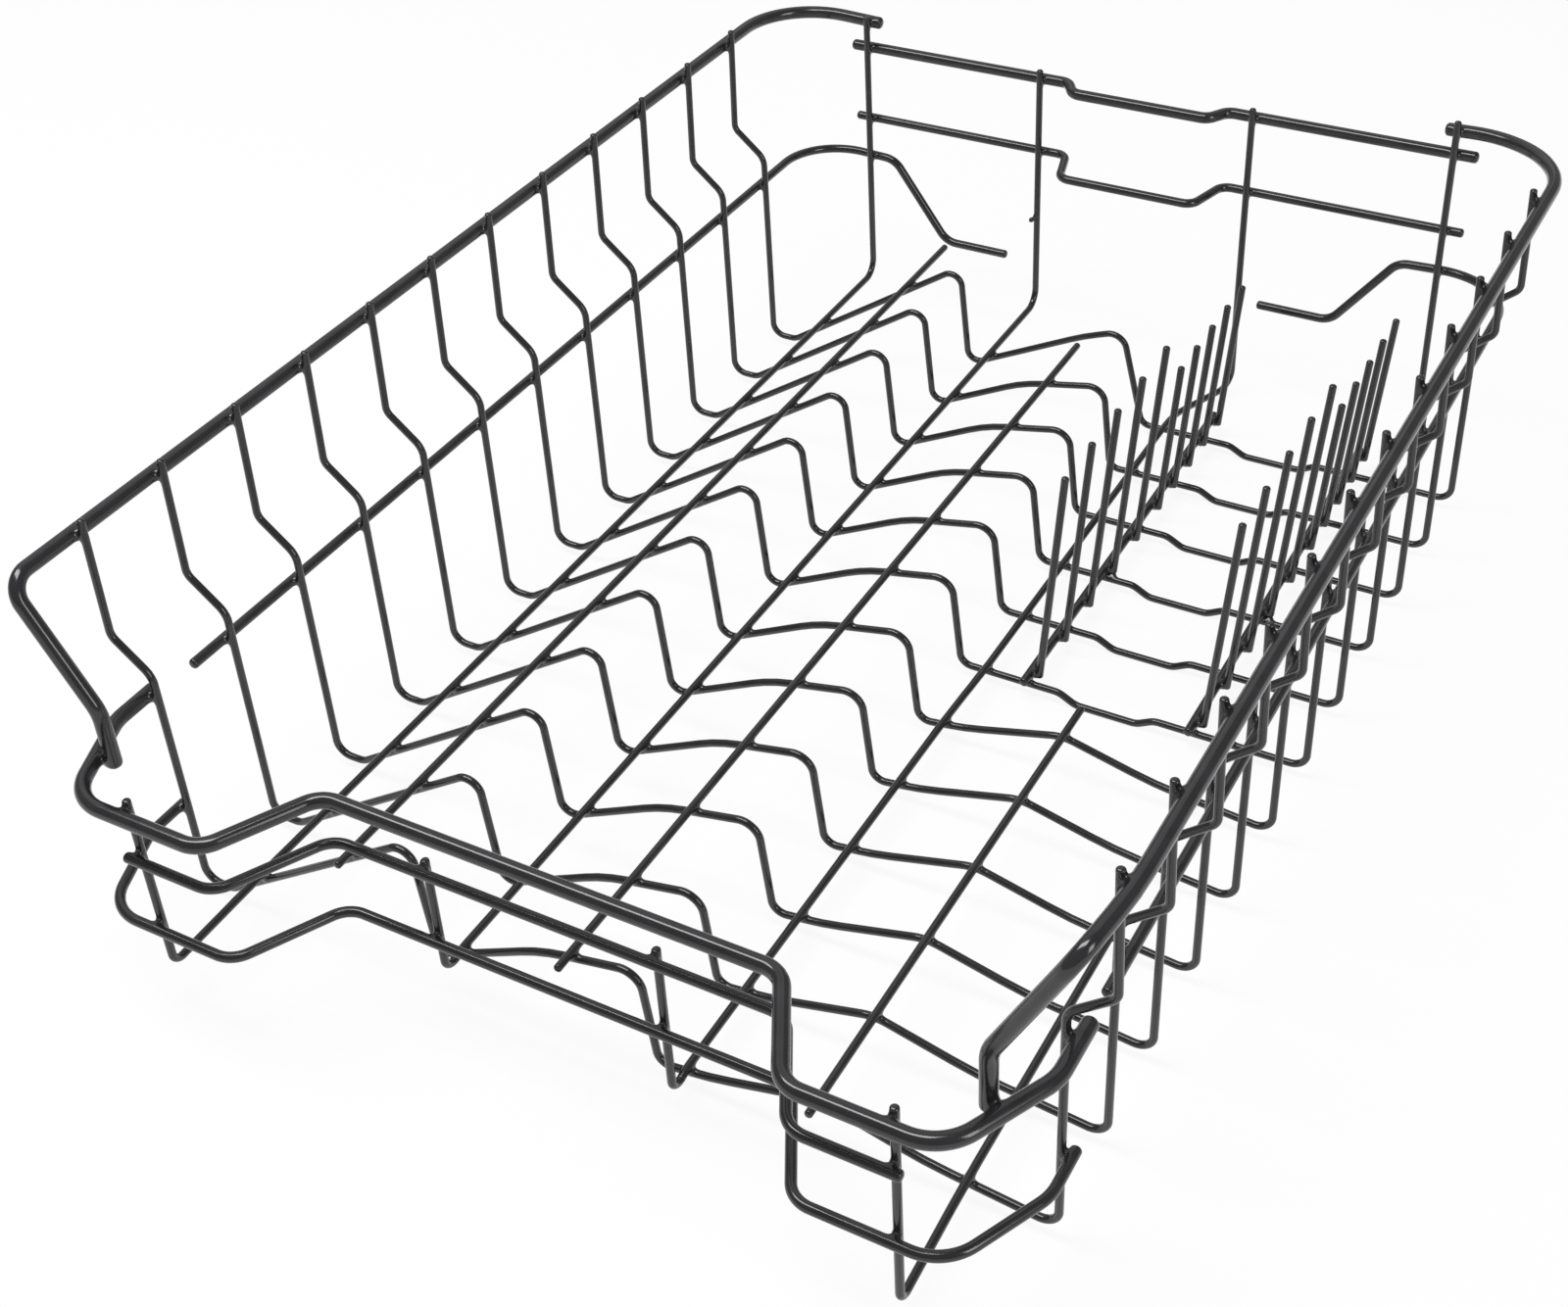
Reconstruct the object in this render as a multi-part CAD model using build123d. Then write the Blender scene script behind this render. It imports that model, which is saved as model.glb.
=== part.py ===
from build123d import *
import math
import os

# Welded wire basket of a slim dishwasher, in millimetres: X runs across, Y from front to back, Z up.
# The origin lies under the middle of the basket, on the surface that it stands on.

# Wire diameters, coating included
CROSS_D = 2.8
RUN_D = 2.9
RIM_D = 5.4
GRIP_D = 5.4
RAIL_D = 3.7
SIDE_D = 3.8
CARRIER_D = 3.7
TINE_D = 2.9
BACK_TOP_D = 4.8
BACK_LOW_D = 3.8

# Cross wires, evenly spaced from front to back: humped ones first, dipped ones behind them
WIRE_COUNT = 12
HUMPED_COUNT = 6
WIRE_PITCH = 37.0

# Side walls of a cross wire: upright, flared shoulder and straight tip
WALL_HALF = 162.0
FLARE = 14.3
TIP_LEAN = 1.3
TIP_PROUD = 6.4
RIGHT_TIP_DROP = 4.1
FLARE_TOP_Z = 109.2
FLARE_Z = 96.9

# Floor of a cross wire, from left to right: ramp, ridge, trough, ledge and the flat floor
DIP_DEPTH = 3.8
RAMP_INSET = 11.7
RIDGE_X = -63.8
RIDGE_Z = 63.4
RIDGE_RUN = 4.3
TROUGH_Z = 14.8
TROUGH_RUN = 43.2
TROUGH_RISE = 22.0
LEDGE_X = 20.8
LEDGE_Z = 44.8
LEDGE_RUN = 4.0
LAST_TROUGH_RUN = 55.4
LAST_LEDGE_X = 14.1
LAST_LEDGE_Z = 49.7

# Hump of the front wires and dip of the back ones, measured from the foot of the ledge
HUMP_FOOT = 19.0
HUMP_FOOT_RISE = 2.8
HUMP_TOP = 57.9
HUMP_TOP_RISE = 13.8
HUMP_END = 93.5
HUMP_END_RISE = 4.8
DIP_START = 40.7
DIP_SLOPE = 7.0
DIP_WIDTH = 24.3

# Bend radii on the wire's axis
SHOULDER_R = 5.0
KNEE_R = 8.0
CORNER_R = 6.0
RAMP_R = 8.0
RIDGE_R = 5.5
TROUGH_R = 5.0
LEDGE_R = 7.0
EASY_R = 18.0
DIP_R = 8.0
POST_R = 8.0
FRONT_POST_R = 4.0
RIM_BACK_R_LEFT = 33.0
RIM_BACK_R_RIGHT = 42.0
RIM_FRONT_R = 8.5
RIM_LEG_R = 14.0
SIDE_BACK_R_LEFT = 27.0
SIDE_BACK_R_RIGHT = 33.0
SIDE_TAIL_R = 10.0
GRIP_R = 10.0
GRIP_CORNER_R = 17.0
BACK_R = 6.0

# Lengthwise runs that rest on the cross wires
OUTER_INSET = 28.8
RAMP_RUN_X = -88.5
INNER_OFFSET = 11.1
LEDGE_RUN_X = -3.8
FLOOR_RUN_OFFSET = 11.3
HUMP_RUN_OFFSET = 59.1
RUN_FRONT_REACH = 9.0
RAMP_RUN_BACK = 36.0
LEDGE_RUN_SHORT = 7.0
HUMP_RUN_BACK = 14.7
JOG_CLEAR = 8.0
LEVEL_TOLERANCE = 0.1

# Posts: ends of the runs that are bent up at the front and the back
OUTER_POST_FRONT = 45.5
INNER_POST_FRONT = 10.0
POST_BACK = 48.5
OUTER_FRONT_PROUD = 4.0
INNER_FRONT_PROUD = 3.0
OUTER_BACK_PROUD = 0.7
INNER_BACK_PROUD = 5.9
LEFT_FRONT_DROP = 1.0
FRONT_DROP = 3.5
FRONT_DROP_CLEAR = 3.0
FLOOR_RUN_DROP = 4.5

# Rims along the top of the side walls, with a leg down to the front grip
RIM_Z = 150.0
RIM_CORNER_DROP_LEFT = 1.5
RIM_CORNER_DROP_RIGHT = 3.8
RIM_TAIL_DROP_LEFT = 3.5
RIM_TAIL_DROP_RIGHT = 5.6
RIM_TAIL = 5.7
RIM_FRONT = 29.5
RIM_LEAN_RIGHT = 3.4
RIM_RISE_RIGHT = 2.5
LEAN_START = 3.0
LEG_BEND_RISE = 19.0
LEG_PAST = 3.5

# Side wires half way up, with a tail that drops across the back
SIDE_Z = 85.6
SIDE_CORNER_DROP = 3.0
SIDE_TAIL_DROP = 5.1
SIDE_FRONT_INSET = 20.0
TAIL_START_LEFT = 11.0
TAIL_START_RIGHT = 17.5
TAIL_SLOPE = 26.5
TAIL_STEP_LEFT = 37.0
TAIL_STEP_RIGHT = 34.5
TAIL_LENGTH_LEFT = 31.0
TAIL_LENGTH_RIGHT = 33.0

# Front rails, stepped back in the middle as a hand grip
GRIP_Z = 88.0
MIDDLE_DROP = 19.0
LOWER_DROP = 49.5
RECESS_HALF = 82.0
RECESS_SLOPE = 19.3
RAIL_INSET_LEFT = 9.5
RAIL_INSET_RIGHT = 13.0
RAIL_TURN = 15.0
GRIP_END_LEFT = 4.0
GRIP_END_RIGHT = 8.0
LOWER_END = 3.6
MIDDLE_TAIL = 3.8

# Back rails, stepped forward in the middle
BACK_TOP_DROP = 15.6
BACK_TOP_TAIL = 9.3
BACK_TOP_STEP = 9.2
BACK_LOW_DROP = 34.4
BACK_LOW_TAIL = 7.8
BACK_LOW_STEP = 21.5
BACK_STEP_HALF = 30.5
BACK_STEP_SLOPE = 6.0

# Tine rows on the dipped wires
CARRIER_REACH = 5.0
INNER_CARRIER_OFFSET = 28.0
OUTER_CARRIER_INSET = 43.5
TINE_LEAN = 4.9
TINE_START = 8.0
TALL_COUNT = 5
TALL_PITCH = 24.4
TALL_TOP_Z = 101.8
SHORT_COUNT = 5
SHORT_PITCH = 17.6
SHORT_TOP_Z = 78.4
TINE_FOOT_RISE = 0.3
CARRIER_END = 5.5

# Wire section: an eight-sided bar with the area of the round wire
SIDES = 8
CORNER_OUT = math.sqrt(2 * math.pi / (SIDES * math.sin(2 * math.pi / SIDES)))
FLAT_OUT = CORNER_OUT * math.cos(math.pi / SIDES)

# Bends: gentle ones are a plain mitre, the others wrap the arc in equal turns
GENTLE_TURN = 20.0
LARGEST_TURN = 35.0


def seat(first_d, second_d):
    """Distance between the axes of two wires that lie against each other."""
    return (first_d + second_d) / 2 * CORNER_OUT


def bent_path(corners):
    """Points of a bent wire: each (point, radius) corner becomes equal turns around its arc."""
    points = [corners[0][0]]
    for (before, _), (corner, radius), (after, _) in zip(corners, corners[1:], corners[2:]):
        travel = (corner - before).normalized()
        leave = (after - corner).normalized()
        turn = travel.get_angle(leave)
        steps = 1 if turn < GENTLE_TURN else max(2, math.ceil(turn / LARGEST_TURN))
        if steps == 1:
            points.append(corner)
            continue
        inward = (leave - travel).normalized()
        centre = corner + inward * (radius / math.cos(math.radians(turn / 2)))
        outward = (corner - travel * (radius * math.tan(math.radians(turn / 2))) - centre).normalized()
        step = math.radians(turn / steps)
        for k in range(steps):
            angle = (k + 0.5) * step
            direction = outward * math.cos(angle) + travel * math.sin(angle)
            points.append(centre + direction * (radius / math.cos(step / 2)))
    points.append(corners[-1][0])
    return points


def wire(points, diameter, across):
    """Solid wire along the points, with one pair of its flats facing the direction across."""
    plane = Plane(origin=points[0], x_dir=across, z_dir=points[1] - points[0])
    section = plane * RegularPolygon(diameter / 2 * CORNER_OUT, SIDES, rotation=180 / SIDES)
    return sweep(section, path=Polyline(*points), transition=Transition.RIGHT)


# Heights and depths that follow from the values above
FLOOR_Z = CROSS_D / 2 * FLAT_OUT + DIP_DEPTH
TIP_Z = RIM_Z + TIP_PROUD
MIDDLE_Z = GRIP_Z - MIDDLE_DROP
LOWER_Z = GRIP_Z - LOWER_DROP
BACK_TOP_Z = RIM_Z - BACK_TOP_DROP
BACK_LOW_Z = BACK_TOP_Z - BACK_LOW_DROP
SIDE_TAIL_Z = SIDE_Z - SIDE_TAIL_DROP
OUTER_X = WALL_HALF - OUTER_INSET
FOOT_X = LEDGE_X + LEDGE_RUN
TROUGH_X = RIDGE_X + RIDGE_RUN
INNER_X = -(TROUGH_X + INNER_OFFSET)
FRONT_FACE = OUTER_POST_FRONT + seat(RUN_D, GRIP_D) + GRIP_D / 2 * FLAT_OUT
BACK_FACE = POST_BACK + seat(RUN_D, RIM_D) + RIM_D / 2 * FLAT_OUT
DEPTH = FRONT_FACE + (WIRE_COUNT - 1) * WIRE_PITCH + BACK_FACE
FIRST_Y = FRONT_FACE - DEPTH / 2
LAST_Y = FIRST_Y + (WIRE_COUNT - 1) * WIRE_PITCH
LAST_HUMPED_Y = FIRST_Y + (HUMPED_COUNT - 1) * WIRE_PITCH
POST_Y = LAST_Y + POST_BACK
ACROSS_X = Vector(1, 0, 0)
ACROSS_Y = Vector(0, 1, 0)
ACROSS_Z = Vector(0, 0, 1)


def wall_half_at(z):
    """Half width of the side wall's axis at a height."""
    if z <= FLARE_Z:
        return WALL_HALF
    if z <= FLARE_TOP_Z:
        return WALL_HALF + FLARE * (z - FLARE_Z) / (FLARE_TOP_Z - FLARE_Z)
    return WALL_HALF + FLARE - TIP_LEAN * (z - FLARE_TOP_Z) / (TIP_Z - FLARE_TOP_Z)


def side_wall(side, tip_z):
    """Corners of one side wall from the tip down to the floor."""
    return [
        (side * wall_half_at(tip_z), tip_z, 0),
        (side * (WALL_HALF + FLARE), FLARE_TOP_Z, SHOULDER_R),
        (side * WALL_HALF, FLARE_Z, KNEE_R),
        (side * WALL_HALF, FLOOR_Z, CORNER_R),
    ]


def ramp_and_trough():
    """Corners from the left wall over the ridge and down into the trough."""
    return [
        (RAMP_INSET - WALL_HALF, FLOOR_Z, RAMP_R),
        (RIDGE_X, RIDGE_Z, RIDGE_R),
        (TROUGH_X, TROUGH_Z, TROUGH_R),
    ]


def ledge(last):
    """Corners of the ledge and its foot; the last wire climbs further and higher."""
    slope = TROUGH_RISE / TROUGH_RUN
    if last:
        edge = [
            (TROUGH_X + LAST_TROUGH_RUN, TROUGH_Z + LAST_TROUGH_RUN * slope, EASY_R),
            (LAST_LEDGE_X, LAST_LEDGE_Z, LEDGE_R),
        ]
    else:
        edge = [
            (TROUGH_X + TROUGH_RUN, TROUGH_Z + TROUGH_RISE, EASY_R),
            (LEDGE_X, LEDGE_Z, LEDGE_R),
        ]
    return edge + [(FOOT_X, FLOOR_Z, TROUGH_R)]


def right_floor(humped):
    """Corners of the floor right of the ledge: a low hump, or a dip between the tine rows."""
    if humped:
        return [
            (FOOT_X + HUMP_FOOT, FLOOR_Z + HUMP_FOOT_RISE, EASY_R),
            (FOOT_X + HUMP_TOP, FLOOR_Z + HUMP_TOP_RISE, EASY_R),
            (FOOT_X + HUMP_END, FLOOR_Z + HUMP_END_RISE, EASY_R),
        ]
    dip = FOOT_X + DIP_START
    return [
        (dip, FLOOR_Z, DIP_R),
        (dip + DIP_SLOPE, FLOOR_Z - DIP_DEPTH, DIP_R),
        (dip + DIP_SLOPE + DIP_WIDTH, FLOOR_Z - DIP_DEPTH, DIP_R),
        (dip + 2 * DIP_SLOPE + DIP_WIDTH, FLOOR_Z, DIP_R),
    ]


def cross_path(index):
    """Points of one cross wire, from its left tip to its right tip, which is lower towards the back."""
    last = WIRE_COUNT - 1
    left = side_wall(-1, TIP_Z) + ramp_and_trough() + ledge(index == last)
    right = side_wall(1, TIP_Z - RIGHT_TIP_DROP * index / last)
    profile = left + right_floor(index < HUMPED_COUNT) + right[::-1]
    return bent_path([(Vector(x, wire_y(index), z), radius) for x, z, radius in profile])


def height_on(path, x, reach):
    """Height at which a wire along Y comes to rest on a cross wire, its axis at the distance reach."""
    heights = []
    for a, b in zip(path, path[1:]):
        for point in (a, b):
            if abs(x - point.X) < reach:
                heights.append(point.Z + math.sqrt(reach ** 2 - (x - point.X) ** 2))
        if b.X > a.X:
            slope = math.atan2(b.Z - a.Z, b.X - a.X)
            touch_x = x + reach * math.sin(slope)
            if a.X <= touch_x <= b.X:
                heights.append(a.Z + (x - a.X) * math.tan(slope) + reach / math.cos(slope))
    return max(heights)


def wire_y(index):
    return FIRST_Y + index * WIRE_PITCH


CROSS_PATHS = [cross_path(i) for i in range(WIRE_COUNT)]
HUMPED_PATH = CROSS_PATHS[0]
DIPPED_PATH = CROSS_PATHS[HUMPED_COUNT]


def run_levels(x):
    """Heights of a lengthwise run over the humped wires and over the dipped ones."""
    reach = seat(CROSS_D, RUN_D)
    return height_on(HUMPED_PATH, x, reach), height_on(DIPPED_PATH, x, reach)


def posted_run(x, front_y, front_top, front_drop, back_x, back_top, back_drop):
    """Lengthwise run with both ends dropped and bent up into posts, the back one at its own place across."""
    front_z, back_z = run_levels(x)
    corners = [
        (Vector(x, front_y, front_top), 0),
        (Vector(x, front_y, front_z - front_drop), FRONT_POST_R),
        (Vector(x, FIRST_Y - FRONT_DROP_CLEAR, front_z), EASY_R),
    ]
    if abs(front_z - back_z) > LEVEL_TOLERANCE:
        corners.append((Vector(x, LAST_HUMPED_Y + JOG_CLEAR, front_z), EASY_R))
        corners.append((Vector(x, LAST_HUMPED_Y + WIRE_PITCH - JOG_CLEAR, back_z), EASY_R))
    if back_x != x:
        corners.append((Vector(x, LAST_Y + JOG_CLEAR, back_z), EASY_R))
    corners.append((Vector(back_x, POST_Y, back_z - back_drop), POST_R))
    corners.append((Vector(back_x, POST_Y, back_top), 0))
    return wire(bent_path(corners), RUN_D, ACROSS_X)


def straight_run(x, start_y, end_y):
    """Lengthwise run with straight ends, over the humped wires."""
    z = run_levels(x)[0]
    return wire([Vector(x, start_y, z), Vector(x, end_y, z)], RUN_D, ACROSS_X)


def leg_half(inset, y):
    """Half width at which a rim's leg rests inside the slanted end of the grip rail."""
    front = FIRST_Y - OUTER_POST_FRONT - seat(RUN_D, GRIP_D)
    corner = WALL_HALF - inset
    end = wall_half_at(GRIP_Z) + seat(CROSS_D, GRIP_D)
    slope = (end - corner) / (FIRST_Y - RAIL_TURN - front)
    return corner + slope * (y - front) - seat(RIM_D, GRIP_D) * math.hypot(1, slope)


def rim(side, back_r, corner_drop, tail_drop, lean, rise, rail_inset):
    """Top rim of one side: tail across the back, side run with its own front end, leg down to the grip."""
    x = wall_half_at(RIM_Z - corner_drop) + seat(CROSS_D, RIM_D)
    back_y = POST_Y + seat(RUN_D, RIM_D)
    front_y = FIRST_Y - RIM_FRONT
    leg_x = leg_half(rail_inset, front_y)
    corners = [
        (Vector(side * (OUTER_X - RIM_TAIL), back_y, RIM_Z - tail_drop), 0),
        (Vector(side * x, back_y, RIM_Z - corner_drop), back_r),
    ]
    if lean > 0:
        corners.append((Vector(side * x, FIRST_Y - LEAN_START, RIM_Z + rise), EASY_R))
    corners += [
        (Vector(side * (x - lean), front_y, RIM_Z + rise), RIM_FRONT_R),
        (Vector(side * leg_x, front_y, GRIP_Z + LEG_BEND_RISE), RIM_LEG_R),
        (Vector(side * leg_x, front_y, GRIP_Z - LEG_PAST), 0),
    ]
    return wire(bent_path(corners), RIM_D, ACROSS_Z)


def side_wire(side, back_r, tail_start, tail_step, tail_length):
    """Side wire half way up, with a tail that steps down across the back."""
    x = wall_half_at(SIDE_Z) + seat(CROSS_D, SIDE_D)
    back_y = POST_Y + seat(RUN_D, SIDE_D)
    tail_x = OUTER_X - tail_start
    tail_end = tail_x - TAIL_SLOPE
    corners = [
        (Vector(side * x, FIRST_Y + SIDE_FRONT_INSET, SIDE_Z), 0),
        (Vector(side * x, back_y, SIDE_Z - SIDE_CORNER_DROP), back_r),
        (Vector(side * tail_x, back_y, SIDE_TAIL_Z), SIDE_TAIL_R),
        (Vector(side * tail_end, back_y, SIDE_TAIL_Z - tail_step), SIDE_TAIL_R),
        (Vector(side * (tail_end - tail_length), back_y, SIDE_TAIL_Z - tail_step), 0),
    ]
    return wire(bent_path(corners), SIDE_D, ACROSS_Z)


def recess(front_y, recess_y, z):
    """Left half of a front rail's step back, from the front plane to the grip."""
    return [
        (Vector(-RECESS_HALF - RECESS_SLOPE, front_y, z), GRIP_R),
        (Vector(-RECESS_HALF, recess_y, z), GRIP_R),
    ]


def mirrored(corners):
    """The corners followed by their mirror image across the basket's middle."""
    flipped = [(Vector(-point.X, point.Y, point.Z), radius) for point, radius in corners]
    return corners + flipped[::-1]


def rail_end(side, inset, past, front_y, z, diameter):
    """Corners of one end of a front rail, from the side wall to the front corner."""
    end_x = wall_half_at(z) + seat(CROSS_D, diameter)
    return [
        (Vector(side * end_x, FIRST_Y + past, z), 0),
        (Vector(side * end_x, FIRST_Y - RAIL_TURN, z), GRIP_CORNER_R),
        (Vector(side * (WALL_HALF - inset), front_y, z), GRIP_CORNER_R),
    ]


def front_rail(z, diameter, past_left, past_right):
    """Front rail that wraps round both front corners and ends just past the first cross wire."""
    front_y = FIRST_Y - OUTER_POST_FRONT - seat(RUN_D, diameter)
    recess_y = FIRST_Y - INNER_POST_FRONT - seat(RUN_D, diameter)
    left = rail_end(-1, RAIL_INSET_LEFT, past_left, front_y, z, diameter)
    right = rail_end(1, RAIL_INSET_RIGHT, past_right, front_y, z, diameter)
    corners = left + mirrored(recess(front_y, recess_y, z)) + right[::-1]
    return wire(bent_path(corners), diameter, ACROSS_Z)


def middle_rail():
    """Short front rail that ends just past the outer posts."""
    front_y = FIRST_Y - OUTER_POST_FRONT - seat(RUN_D, RAIL_D)
    recess_y = FIRST_Y - INNER_POST_FRONT - seat(RUN_D, RAIL_D)
    end = [(Vector(-OUTER_X - MIDDLE_TAIL, front_y, MIDDLE_Z), 0)]
    return wire(bent_path(mirrored(end + recess(front_y, recess_y, MIDDLE_Z))), RAIL_D, ACROSS_Z)


def back_rail(z, diameter, tail, step):
    """Back rail behind the posts, with its middle stepped forward."""
    y = POST_Y + seat(RUN_D, diameter)
    left = [
        (Vector(-OUTER_X - tail, y, z), 0),
        (Vector(-BACK_STEP_HALF - BACK_STEP_SLOPE, y, z), BACK_R),
        (Vector(-BACK_STEP_HALF, y - step, z), BACK_R),
    ]
    return wire(bent_path(mirrored(left)), diameter, ACROSS_Z)


def tine_places():
    """Distance of each tine from the front end of its carrier, and the height of its top."""
    tall = [(TINE_START + i * TALL_PITCH, TALL_TOP_Z) for i in range(TALL_COUNT)]
    first_short = TINE_START + TALL_COUNT * TALL_PITCH
    return tall + [(first_short + i * SHORT_PITCH, SHORT_TOP_Z) for i in range(SHORT_COUNT)]


def tine_row(x):
    """Carrier along Y at x, and the tines that lean away from its right side."""
    z = height_on(DIPPED_PATH, x, seat(CROSS_D, CARRIER_D))
    start = LAST_HUMPED_Y + WIRE_PITCH - CARRIER_REACH
    end = start + tine_places()[-1][0] + CARRIER_END
    carrier = wire([Vector(x, start, z), Vector(x, end, z)], CARRIER_D, ACROSS_X)
    lean = math.tan(math.radians(TINE_LEAN))
    axis_x = x + seat(CARRIER_D, TINE_D) / math.cos(math.radians(TINE_LEAN))
    foot = z - CARRIER_D / 2 + TINE_FOOT_RISE
    tines = []
    for place, top in tine_places():
        ends = [Vector(axis_x + (level - z) * lean, start + place, level) for level in (foot, top)]
        tines.append(wire(ends, TINE_D, ACROSS_Y))
    return carrier, tines


def basket():
    """All wires by name."""
    nodes = {}
    for i, path in enumerate(CROSS_PATHS):
        nodes[f"cross_wire_{i + 1:02d}"] = wire(path, CROSS_D, ACROSS_Y)

    outer_front = FIRST_Y - OUTER_POST_FRONT
    inner_front = FIRST_Y - INNER_POST_FRONT
    run_front = FIRST_Y - RUN_FRONT_REACH
    floor_x = FOOT_X + FLOOR_RUN_OFFSET
    outer_post = (outer_front, GRIP_Z + OUTER_FRONT_PROUD)
    inner_post = (inner_front, MIDDLE_Z + INNER_FRONT_PROUD)
    outer_top = RIM_Z + OUTER_BACK_PROUD
    inner_top = BACK_TOP_Z + INNER_BACK_PROUD
    nodes["outer_run_left"] = posted_run(-OUTER_X, *outer_post, LEFT_FRONT_DROP, -OUTER_X, outer_top, 0)
    nodes["outer_run_right"] = posted_run(OUTER_X, *outer_post, FRONT_DROP, OUTER_X, outer_top, 0)
    nodes["trough_run"] = posted_run(-INNER_X, *inner_post, FRONT_DROP, -INNER_X, inner_top, 0)
    nodes["floor_run"] = posted_run(floor_x, *inner_post, FRONT_DROP, INNER_X, inner_top, FLOOR_RUN_DROP)
    nodes["ramp_run"] = straight_run(RAMP_RUN_X, run_front, LAST_Y + RAMP_RUN_BACK)
    nodes["ledge_run"] = straight_run(LEDGE_RUN_X, run_front, LAST_Y - LEDGE_RUN_SHORT)
    nodes["hump_run"] = straight_run(FOOT_X + HUMP_RUN_OFFSET, run_front, LAST_HUMPED_Y + HUMP_RUN_BACK)

    left_drops = (RIM_CORNER_DROP_LEFT, RIM_TAIL_DROP_LEFT)
    right_drops = (RIM_CORNER_DROP_RIGHT, RIM_TAIL_DROP_RIGHT)
    right_front = (RIM_LEAN_RIGHT, RIM_RISE_RIGHT, RAIL_INSET_RIGHT)
    nodes["rim_left"] = rim(-1, RIM_BACK_R_LEFT, *left_drops, 0, 0, RAIL_INSET_LEFT)
    nodes["rim_right"] = rim(1, RIM_BACK_R_RIGHT, *right_drops, *right_front)
    side_left = (SIDE_BACK_R_LEFT, TAIL_START_LEFT, TAIL_STEP_LEFT, TAIL_LENGTH_LEFT)
    side_right = (SIDE_BACK_R_RIGHT, TAIL_START_RIGHT, TAIL_STEP_RIGHT, TAIL_LENGTH_RIGHT)
    nodes["side_wire_left"] = side_wire(-1, *side_left)
    nodes["side_wire_right"] = side_wire(1, *side_right)

    nodes["front_grip_rail"] = front_rail(GRIP_Z, GRIP_D, GRIP_END_LEFT, GRIP_END_RIGHT)
    nodes["front_middle_rail"] = middle_rail()
    nodes["front_lower_rail"] = front_rail(LOWER_Z, RAIL_D, LOWER_END, LOWER_END)
    nodes["back_top_rail"] = back_rail(BACK_TOP_Z, BACK_TOP_D, BACK_TOP_TAIL, BACK_TOP_STEP)
    nodes["back_lower_rail"] = back_rail(BACK_LOW_Z, BACK_LOW_D, BACK_LOW_TAIL, BACK_LOW_STEP)

    rows = {"inner": FOOT_X + INNER_CARRIER_OFFSET, "outer": WALL_HALF - OUTER_CARRIER_INSET}
    for name, x in rows.items():
        carrier, tines = tine_row(x)
        nodes[f"tine_carrier_{name}"] = carrier
        for i, tine in enumerate(tines):
            nodes[f"tine_{name}_{i + 1:02d}"] = tine
    return nodes


os.makedirs("parts", exist_ok=True)
for node_name, solid in basket().items():
    export_step(solid, f"parts/{node_name}.step")
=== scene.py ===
import math

import bpy
import numpy as np
from mathutils import Matrix, Vector


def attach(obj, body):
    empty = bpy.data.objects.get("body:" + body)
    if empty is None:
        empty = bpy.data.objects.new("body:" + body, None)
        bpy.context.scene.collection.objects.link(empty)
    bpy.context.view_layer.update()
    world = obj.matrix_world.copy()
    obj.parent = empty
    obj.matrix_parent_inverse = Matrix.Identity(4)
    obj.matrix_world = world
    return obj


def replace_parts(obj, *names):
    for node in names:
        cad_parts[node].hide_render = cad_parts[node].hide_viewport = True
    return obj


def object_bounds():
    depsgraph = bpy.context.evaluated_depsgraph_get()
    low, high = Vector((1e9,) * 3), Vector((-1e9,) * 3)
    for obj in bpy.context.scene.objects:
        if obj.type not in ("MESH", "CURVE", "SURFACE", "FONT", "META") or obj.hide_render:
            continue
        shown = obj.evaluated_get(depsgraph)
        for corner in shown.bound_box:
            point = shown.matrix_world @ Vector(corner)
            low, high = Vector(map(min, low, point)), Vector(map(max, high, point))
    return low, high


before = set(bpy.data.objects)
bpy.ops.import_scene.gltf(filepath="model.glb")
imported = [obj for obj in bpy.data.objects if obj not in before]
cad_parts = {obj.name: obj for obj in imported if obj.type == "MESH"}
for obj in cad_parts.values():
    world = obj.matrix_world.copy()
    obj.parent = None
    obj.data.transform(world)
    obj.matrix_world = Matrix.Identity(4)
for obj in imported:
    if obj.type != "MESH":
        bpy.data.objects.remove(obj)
cad_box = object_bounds()

# Welded wire basket: every wire of the CAD frame gets a round, smoothly bent skin of plastic coating, which
# swells into the corner wherever two wires are welded. Lengths are in metres.
MM = 0.001

# Section of a CAD wire: its corners lie this much further out than the round wire they stand for
CAD_SIDES = 8
CORNER_OUT = math.sqrt(2 * math.pi / (CAD_SIDES * math.sin(2 * math.pi / CAD_SIDES)))
FLAT_COSINE = 0.99999
ROUND_SHARE = 0.02

# Coating skin: tips have a length as a share of the wire's radius, and a power under 1 makes them blunt
SKIN_SIDES = 20
THICK_SKIN_SIDES = 28
THICK_WIRE = 2.0 * MM
ARC_STEP = math.radians(5.0)
EASY_RADIUS = 40.0 * MM
EASY_REACH = 9.0 * MM
STRAIGHT_STEP = 12.0 * MM
LEAST_STEP = 0.01 * MM
WELD_STEP = 0.3 * MM
TIP_LENGTH = 0.7
TIP_BLUNT = 0.82
TIP_RINGS = 6

# Welds: the widest gap between welded wires, and the least distance between two welds of a pair
WELD_GAP = 0.5 * MM
WELDS_APART = 30.0 * MM
SEARCH_STEP = 1.0 * MM
CLOSER_STEPS = (0.1 * MM, 0.01 * MM)
CLOSER_COUNT = 20

# Web of coating at a weld: its size, up to a cap, and its reach as shares of the thinner wire's radius,
# and its most height as a share of its size
WEB = 1.7
WEB_CAP = 2.5 * MM
WEB_REACH = 4.6
WEB_MOST = 0.6
WEB_ROUNDS = 5

# Drip of coating left on the back post of the trough run
DRIP_HEIGHT = 69.6 * MM
DRIP_RADIUS = 1.15 * MM
DRIP_LENGTH = 4.8 * MM
DRIP_LEAN = (-0.5, -0.66, -0.56)
DRIP_SIDES = 12
DRIP_RINGS = 8
DRIP_FOOT = 1.6
DRIP_NARROWING = 1.1
DRIP_NECK = 0.6
DRIP_DOME = 0.7

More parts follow.
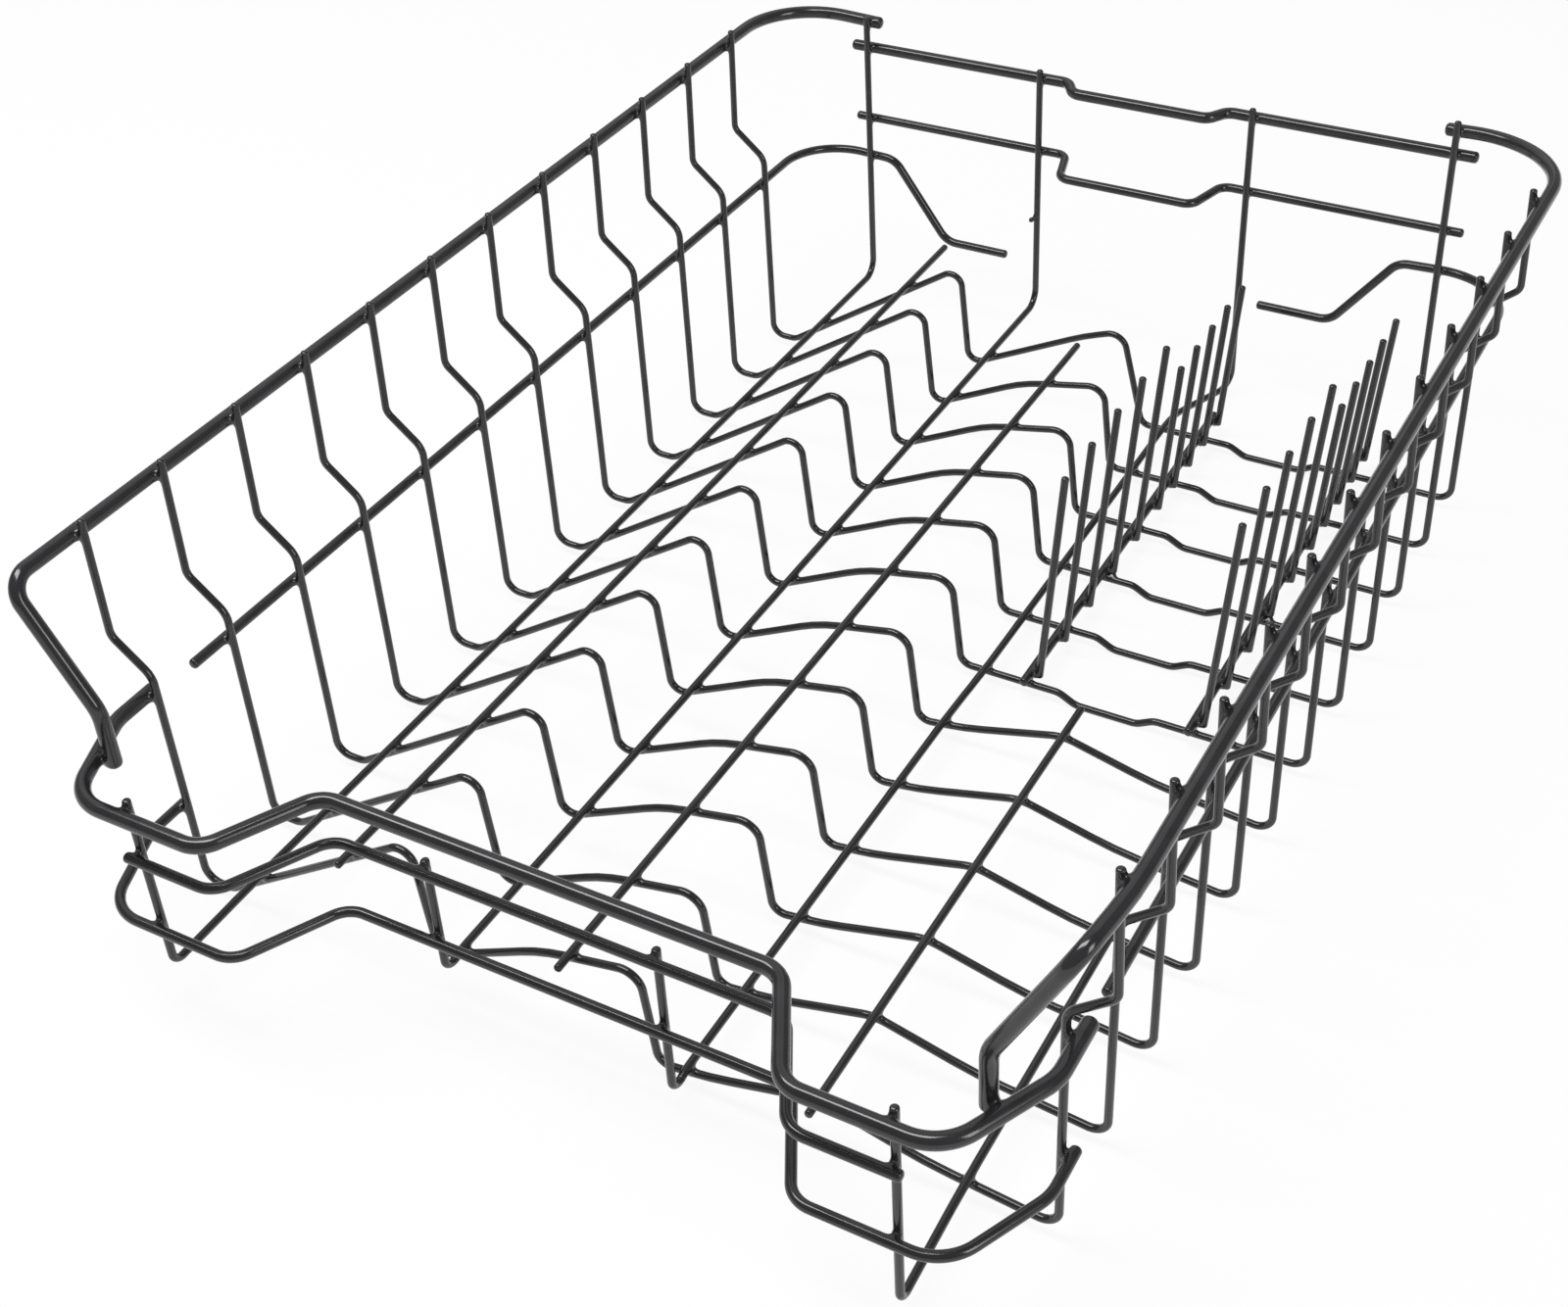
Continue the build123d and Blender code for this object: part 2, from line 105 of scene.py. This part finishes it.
# Coating material: two tones, and the scales of its unevenness per metre
COATING_IOR = 1.55
DARK_TONE = (0.0128, 0.0119, 0.0136, 1)
LIGHT_TONE = (0.0232, 0.0217, 0.0247, 1)
TONE_SCALE = 90.0
GLOSSY = 0.13
SATIN = 0.17
GLOSS_SCALE = 260.0
PEEL_STRENGTH = 0.015
PEEL_DEPTH = 0.15 * MM
PEEL_SCALE = 160.0

# Stage
FLOOR_HALF = 20.0
FLOOR_COLOUR = (0.92, 0.92, 0.92, 1)
FLOOR_WHITE = 0.9
ROOM_LIGHT = 0.3

# Photograph: picture size and the camera that was fitted to it
PHOTO_WIDTH = 1600
PHOTO_HEIGHT = 1334
FOCAL_PX = 2295.4
CENTRE_PX = (814.3, 561.0)
SENSOR = 36.0
EYE = Vector((315.5, -590.8, 557.4)) * MM
FORWARD = Vector((-0.41136, 0.69248, -0.59267))
UPWARD = Vector((-0.2545, 0.5371, 0.8042))


def unit(v):
    return v / np.linalg.norm(v)


def merged(mesh):
    """Distinct corner points of a CAD mesh, and its triangles as indices into them."""
    points = np.array([v.co for v in mesh.vertices])
    distinct, place = np.unique(np.round(points, 6), axis=0, return_inverse=True)
    place = place.ravel()
    mesh.calc_loop_triangles()
    return distinct, [[int(place[i]) for i in t.vertices] for t in mesh.loop_triangles]


def end_cap(points, triangles, near):
    """Corners of one flat end of a CAD wire: joined triangles in one plane, with corners on a circle."""
    normals = []
    sides = {}
    for index, (a, b, c) in enumerate(triangles):
        normals.append(unit(np.cross(points[b] - points[a], points[c] - points[a])))
        for pair in ((a, b), (b, c), (c, a)):
            sides.setdefault(frozenset(pair), []).append(index)
            near.setdefault(pair[0], set()).add(pair[1])
            near.setdefault(pair[1], set()).add(pair[0])
    flat = {}
    for owners in sides.values():
        if len(owners) == 2 and normals[owners[0]] @ normals[owners[1]] > FLAT_COSINE:
            flat.setdefault(owners[0], []).append(owners[1])
            flat.setdefault(owners[1], []).append(owners[0])
    seen = set()
    for start in range(len(triangles)):
        if start in seen:
            continue
        group = [start]
        seen.add(start)
        for index in group:
            for other in flat.get(index, []):
                if other not in seen:
                    seen.add(other)
                    group.append(other)
        corners = sorted({i for index in group for i in triangles[index]})
        if len(corners) != CAD_SIDES:
            continue
        out = np.linalg.norm(points[corners] - points[corners].mean(0), axis=1)
        if np.ptp(out) < ROUND_SHARE * out.mean():
            return corners
    raise ValueError("a CAD wire has no eight-cornered end")


def cad_line(mesh):
    """Corner points of a CAD wire's axis from end to end, and the radius of the round wire."""
    points, triangles = merged(mesh)
    near = {}
    ring = set(end_cap(points, triangles, near))
    first = points[sorted(ring)]
    radius = np.linalg.norm(first - first.mean(0), axis=1).mean() / CORNER_OUT
    line = []
    seen = set()
    while ring:
        seen |= ring
        line.append(points[sorted(ring)].mean(0))
        ring = set().union(*(near[i] for i in ring)) - seen
    return np.array(line), radius


def rounded(line):
    """Dense points along a wire's axis, with an arc of the largest fitting radius at every corner."""
    dense = [line[0]]
    for before, corner, after in zip(line, line[1:], line[2:]):
        travel = unit(corner - before)
        leave = unit(after - corner)
        turn = math.acos(min(1.0, travel @ leave))
        if turn < ARC_STEP / 10:
            continue
        spare = min(np.linalg.norm(corner - before), np.linalg.norm(after - corner)) / 2
        reach = min(spare, max(EASY_REACH, EASY_RADIUS * math.tan(turn / 2)))
        radius = reach / math.tan(turn / 2)
        inward = unit(leave - travel * math.cos(turn))
        steps = math.ceil(turn / ARC_STEP)
        for angle in np.linspace(0, turn, steps + 1):
            along = travel * (radius * math.sin(angle) - reach)
            dense.append(corner + along + inward * radius * (1 - math.cos(angle)))
    dense.append(line[-1])
    kept = [dense[0]]
    for point in dense[1:]:
        if np.linalg.norm(point - kept[-1]) > LEAST_STEP:
            kept.append(point)
    return np.array(kept)


class Wire:
    """Smooth axis of one wire, measured by the length along it."""

    def __init__(self, name, mesh):
        self.name = name
        line, self.radius = cad_line(mesh)
        self.points = rounded(line)
        steps = np.diff(self.points, axis=0)
        lengths = np.linalg.norm(steps, axis=1)
        self.at = np.concatenate([[0], np.cumsum(lengths)])
        self.length = self.at[-1]
        ahead = steps / lengths[:, None]
        self.tangents = np.concatenate([ahead[:1], ahead[:-1] + ahead[1:], ahead[-1:]])
        self.welds = []

    def place(self, at):
        """Points on the axis at the given lengths."""
        return np.stack([np.interp(at, self.at, self.points[:, k]) for k in range(3)], axis=-1)

    def direction(self, at):
        """Directions of the axis at the given lengths."""
        d = np.stack([np.interp(at, self.at, self.tangents[:, k]) for k in range(3)], axis=-1)
        return d / np.linalg.norm(d, axis=-1, keepdims=True)


def closest(first, second, near):
    """Lengths along two wires, near the given ones, where their axes come closest, and the distance there."""
    for step in CLOSER_STEPS:
        reach = np.arange(-CLOSER_COUNT, CLOSER_COUNT + 1) * step
        at_1 = np.clip(near[0] + reach, 0, first.length)
        at_2 = np.clip(near[1] + reach, 0, second.length)
        apart = np.linalg.norm(first.place(at_1)[:, None] - second.place(at_2)[None], axis=2)
        i, j = np.unravel_index(apart.argmin(), apart.shape)
        near = (at_1[i], at_2[j])
    return near[0], near[1], apart[i, j]


def contacts(first, second, room):
    """Every place where two wires lie against each other, as a length along each."""
    at_1 = np.append(np.arange(0, first.length, SEARCH_STEP), first.length)
    at_2 = np.append(np.arange(0, second.length, SEARCH_STEP), second.length)
    apart = np.linalg.norm(first.place(at_1)[:, None] - second.place(at_2)[None], axis=2)
    found = []
    while apart.min() < room + SEARCH_STEP:
        i, j = np.unravel_index(apart.argmin(), apart.shape)
        place_1, place_2, least = closest(first, second, (at_1[i], at_2[j]))
        if least < room:
            found.append((place_1, place_2))
        apart[np.abs(at_1 - at_1[i]) < WELDS_APART] = np.inf
    return found


def find_welds(wires):
    """Note on every wire where others lie against it."""
    for index, first in enumerate(wires):
        for second in wires[index + 1:]:
            room = first.radius + second.radius + WELD_GAP
            low = np.maximum(first.points.min(0), second.points.min(0)) - room
            high = np.minimum(first.points.max(0), second.points.max(0)) + room
            if (low > high).any():
                continue
            for at_1, at_2 in contacts(first, second, room):
                first.welds.append((at_1, second, at_2))
                second.welds.append((at_2, first, at_1))


def stations(wire):
    """Lengths along a wire at which its skin has a ring: at bends, and close together at welds."""
    tip = wire.radius * TIP_LENGTH
    ends = (tip, wire.length - tip)
    at = [wire.at, np.arange(tip, wire.length - tip, STRAIGHT_STEP)]
    for middle, other, _ in wire.welds:
        reach = WEB_REACH * min(wire.radius, other.radius)
        at.append(np.arange(middle - reach, middle + reach, WELD_STEP))
    at = np.unique(np.round(np.concatenate(at), 6))
    at = at[(at > ends[0] + WELD_STEP / 3) & (at < ends[1] - WELD_STEP / 3)]
    spaced = [ends[0]]
    for value in at:
        if value - spaced[-1] > WELD_STEP / 2:
            spaced.append(value)
    return np.array(spaced + [ends[1]])


def swell(wire, at, axis, outward):
    """Extra coating on each point of the skin: a smooth union of the wire with those welded to it."""
    extra = np.zeros(outward.shape[:2])
    for middle, other, other_middle in wire.welds:
        thinner = min(wire.radius, other.radius)
        web = min(WEB * thinner, WEB_CAP)
        reach = WEB_REACH * thinner
        close = np.abs(at - middle) < reach
        if not close.any():
            continue
        along = other_middle + np.arange(-2 * reach, 2 * reach, WELD_STEP)
        partner = other.place(np.clip(along, 0, other.length))
        here = np.zeros(outward[close].shape[:2])
        for _ in range(WEB_ROUNDS):
            skin = axis[close][:, None] + outward[close] * (wire.radius + here)[..., None]
            apart = np.linalg.norm(skin[:, :, None] - partner, axis=3).min(axis=2) - other.radius
            blend = np.maximum(web - np.abs(here - apart), 0)
            here = np.clip(here - (np.minimum(here, apart) - blend ** 2 / (4 * web)), 0, WEB_MOST * web)
        extra[close] = np.maximum(extra[close], here)
    return extra


def smooth_mesh(name, points, faces):
    """Mesh with smooth shading."""
    mesh = bpy.data.meshes.new(name)
    mesh.from_pydata(points.tolist(), [], faces)
    mesh.polygons.foreach_set("use_smooth", [True] * len(mesh.polygons))
    mesh.update()
    return mesh


def skin_mesh(wire):
    """Closed round tube along a wire, inside the CAD box, with blunt round ends and webs at its welds."""
    sides = THICK_SKIN_SIDES if wire.radius > THICK_WIRE else SKIN_SIDES
    at = stations(wire)
    axis = wire.place(at)
    ahead = wire.direction(at)
    across = np.cross(ahead[0], [0.36, 0.48, 0.8])
    turned = []
    for direction in ahead:
        across = unit(across - direction * (across @ direction))
        turned.append(across)
    across = np.array(turned)
    beside = np.cross(ahead, across)
    angles = np.linspace(0, 2 * math.pi, sides, endpoint=False)
    outward = across[:, None] * np.cos(angles)[:, None] + beside[:, None] * np.sin(angles)[:, None]
    rise = swell(wire, at, axis, outward)
    rings = list(axis[:, None] + outward * (wire.radius + rise)[..., None])

    tip = wire.radius * TIP_LENGTH
    bends = np.linspace(0, math.pi / 2, TIP_RINGS + 1)[1:-1]
    for bend in bends:
        share = math.cos(bend) ** TIP_BLUNT
        proud = tip * math.sin(bend) ** TIP_BLUNT
        push = ahead[-1] * proud
        rings.append(axis[-1] + push + outward[-1] * (wire.radius * share + rise[-1] * share)[..., None])
        push = -ahead[0] * proud
        rings.insert(0, axis[0] + push + outward[0] * (wire.radius * share + rise[0] * share)[..., None])
    poles = [axis[0] - ahead[0] * tip, axis[-1] + ahead[-1] * tip]

    count = len(rings)
    points = np.concatenate(rings + [np.array(poles)])
    points = np.clip(points, np.array(cad_box[0]), np.array(cad_box[1]))
    faces = []
    for k in range(count - 1):
        for i in range(sides):
            n = (i + 1) % sides
            low, high = k * sides, (k + 1) * sides
            faces.append((low + i, low + n, high + n, high + i))
    start, end = count * sides, count * sides + 1
    last = (count - 1) * sides
    for i in range(sides):
        n = (i + 1) % sides
        faces.append((n, i, start))
        faces.append((last + i, last + n, end))
    return smooth_mesh(wire.name, points, faces)


def drip_mesh(foot):
    """Small nub of coating that hangs from a point, thick at its foot and round at its end."""
    ahead = unit(np.array(DRIP_LEAN))
    across = unit(np.cross(ahead, [0, 1, 0]))
    beside = np.cross(ahead, across)
    angles = np.linspace(0, 2 * math.pi, DRIP_SIDES, endpoint=False)
    outward = across * np.cos(angles)[:, None] + beside * np.sin(angles)[:, None]
    rings = []
    for share in np.linspace(0, 1, DRIP_RINGS + 1)[:-1]:
        waist = 1.0
        if share < DRIP_NECK:
            waist = DRIP_FOOT - DRIP_NARROWING * math.sin(math.pi / 2 * share / DRIP_NECK)
        dome = math.sqrt(1 - max(0.0, (share - DRIP_DOME) / (1 - DRIP_DOME)) ** 2)
        rings.append(foot + ahead * DRIP_LENGTH * share + outward * DRIP_RADIUS * waist * dome)
    points = np.concatenate(rings + [np.array([foot + ahead * DRIP_LENGTH])])
    faces = []
    for k in range(DRIP_RINGS - 1):
        for i in range(DRIP_SIDES):
            n = (i + 1) % DRIP_SIDES
            low, high = k * DRIP_SIDES, (k + 1) * DRIP_SIDES
            faces.append((low + i, low + n, high + n, high + i))
    last = (DRIP_RINGS - 1) * DRIP_SIDES
    for i in range(DRIP_SIDES):
        faces.append((last + i, last + (i + 1) % DRIP_SIDES, last + DRIP_SIDES))
    faces.append(tuple(reversed(range(DRIP_SIDES))))
    return smooth_mesh("drip", points, faces)


def coating():
    """Dark semi-gloss plastic coating over steel wire, a little uneven in tone, gloss and thickness."""
    material = bpy.data.materials.new("coated_wire")
    material.use_nodes = True
    nodes = material.node_tree.nodes
    link = material.node_tree.links.new
    shader = nodes["Principled BSDF"]
    shader.inputs["IOR"].default_value = COATING_IOR

    where = nodes.new("ShaderNodeTexCoord").outputs["Object"]

    def noise(scale, detail):
        node = nodes.new("ShaderNodeTexNoise")
        node.inputs["Scale"].default_value = scale
        node.inputs["Detail"].default_value = detail
        link(where, node.inputs["Vector"])
        return node.outputs["Fac"]

    tone = nodes.new("ShaderNodeValToRGB")
    tone.color_ramp.elements[0].position = 0.3
    tone.color_ramp.elements[0].color = DARK_TONE
    tone.color_ramp.elements[1].position = 0.75
    tone.color_ramp.elements[1].color = LIGHT_TONE
    link(noise(TONE_SCALE, 4.0), tone.inputs["Fac"])
    link(tone.outputs["Color"], shader.inputs["Base Color"])

    gloss = nodes.new("ShaderNodeMapRange")
    gloss.inputs["To Min"].default_value = GLOSSY
    gloss.inputs["To Max"].default_value = SATIN
    link(noise(GLOSS_SCALE, 3.0), gloss.inputs["Value"])
    link(gloss.outputs["Result"], shader.inputs["Roughness"])

    peel = nodes.new("ShaderNodeBump")
    peel.inputs["Strength"].default_value = PEEL_STRENGTH
    peel.inputs["Distance"].default_value = PEEL_DEPTH
    link(noise(PEEL_SCALE, 2.0), peel.inputs["Height"])
    link(peel.outputs["Normal"], shader.inputs["Normal"])
    return material


def coated(name, mesh, material):
    """Object with the coating that belongs to the basket."""
    mesh.materials.append(material)
    piece = bpy.data.objects.new(name, mesh)
    bpy.context.scene.collection.objects.link(piece)
    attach(piece, "root")
    return piece


def dress(wires, material):
    """Put a coating skin in the place of every CAD wire, and a drip on one back post."""
    for wire in wires:
        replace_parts(coated(f"{wire.name}_skin", skin_mesh(wire), material), wire.name)
        if wire.name == "trough_run":
            back_post = wire.points[:, 1] > wire.points[:, 1].max() - wire.radius / 4
            x, y, _ = wire.points[back_post].mean(0)
            coated("trough_run_drip", drip_mesh(np.array([x, y, DRIP_HEIGHT])), material)


def seen_directly(tree):
    """One for rays that show the background: from the camera, or by a reflection or a clear surface."""
    path = tree.nodes.new("ShaderNodeLightPath")
    glossy = tree.nodes.new("ShaderNodeMath")
    glossy.operation = "MAXIMUM"
    tree.links.new(path.outputs["Is Camera Ray"], glossy.inputs[0])
    tree.links.new(path.outputs["Is Glossy Ray"], glossy.inputs[1])
    clear = tree.nodes.new("ShaderNodeMath")
    clear.operation = "MAXIMUM"
    tree.links.new(glossy.outputs["Value"], clear.inputs[0])
    tree.links.new(path.outputs["Is Transmission Ray"], clear.inputs[1])
    return clear.outputs["Value"]


def floor_material():
    """Pale matt floor that looks white and keeps a soft shadow."""
    material = bpy.data.materials.new("floor")
    material.use_nodes = True
    tree = material.node_tree
    tree.nodes.clear()
    matt = tree.nodes.new("ShaderNodeBsdfDiffuse")
    matt.inputs["Color"].default_value = FLOOR_COLOUR
    white = tree.nodes.new("ShaderNodeEmission")
    white.inputs["Color"].default_value = (1, 1, 1, 1)
    white.inputs["Strength"].default_value = 1.0
    share = tree.nodes.new("ShaderNodeMath")
    share.operation = "MULTIPLY"
    share.inputs[1].default_value = FLOOR_WHITE
    tree.links.new(seen_directly(tree), share.inputs[0])
    mix = tree.nodes.new("ShaderNodeMixShader")
    tree.links.new(share.outputs["Value"], mix.inputs["Fac"])
    tree.links.new(matt.outputs["BSDF"], mix.inputs[1])
    tree.links.new(white.outputs["Emission"], mix.inputs[2])
    out = tree.nodes.new("ShaderNodeOutputMaterial")
    tree.links.new(mix.outputs["Shader"], out.inputs["Surface"])
    return material


def stage():
    """Plain pale floor under the basket."""
    half = FLOOR_HALF
    corners = [(-half, -half, 0), (half, -half, 0), (half, half, 0), (-half, half, 0)]
    mesh = bpy.data.meshes.new("floor")
    mesh.from_pydata(corners, [], [(0, 1, 2, 3)])
    floor = bpy.data.objects.new("floor", mesh)
    floor.data.materials.append(floor_material())
    bpy.context.scene.collection.objects.link(floor)


def softbox(name, place, target, width, height, power):
    """Rectangular lamp that faces a point."""
    data = bpy.data.lights.new(name, "AREA")
    data.shape = "RECTANGLE"
    data.size = width
    data.size_y = height
    data.energy = power
    lamp = bpy.data.objects.new(name, data)
    lamp.location = place
    lamp.rotation_euler = (Vector(target) - Vector(place)).to_track_quat("-Z", "Y").to_euler()
    bpy.context.scene.collection.objects.link(lamp)


def lights():
    """Room with even light, a long lamp above the front, a soft lamp on the right and one high behind."""
    world = bpy.data.worlds.new("room")
    bpy.context.scene.world = world
    world.use_nodes = True
    background = world.node_tree.nodes["Background"]
    background.inputs["Color"].default_value = (1, 1, 1, 1)
    background.inputs["Strength"].default_value = ROOM_LIGHT
    softbox("front_strip", (-0.475, -0.3, 1.5), (-0.475, -0.2, 0), 1.35, 0.42, 18)
    softbox("right", (1.5, -0.5, 0.85), (0, -0.1, 0.08), 0.5, 0.9, 8)
    softbox("overhead", (-1.0, 1.2, 1.8), (0, 0, 0.05), 2.8, 2.0, 8)


def camera():
    """Camera at the photograph's place, with its picture centre."""
    data = bpy.data.cameras.new("camera")
    data.sensor_fit = "HORIZONTAL"
    data.sensor_width = SENSOR
    data.lens = FOCAL_PX / PHOTO_WIDTH * SENSOR
    data.shift_x = (PHOTO_WIDTH / 2 - CENTRE_PX[0]) / PHOTO_WIDTH
    data.shift_y = (CENTRE_PX[1] - PHOTO_HEIGHT / 2) / PHOTO_WIDTH
    data.clip_start = 0.01
    data.clip_end = 50.0
    back = -FORWARD.normalized()
    right = UPWARD.cross(back).normalized()
    up = back.cross(right)
    placed = Matrix((right, up, back)).transposed().to_4x4()
    placed.translation = EYE
    made = bpy.data.objects.new("camera", data)
    made.matrix_world = placed
    bpy.context.scene.collection.objects.link(made)
    bpy.context.scene.camera = made


wires = [Wire(name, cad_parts[name].data) for name in sorted(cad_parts)]
find_welds(wires)
dress(wires, coating())
stage()
lights()
camera()
bpy.context.scene.view_settings.view_transform = "Standard"
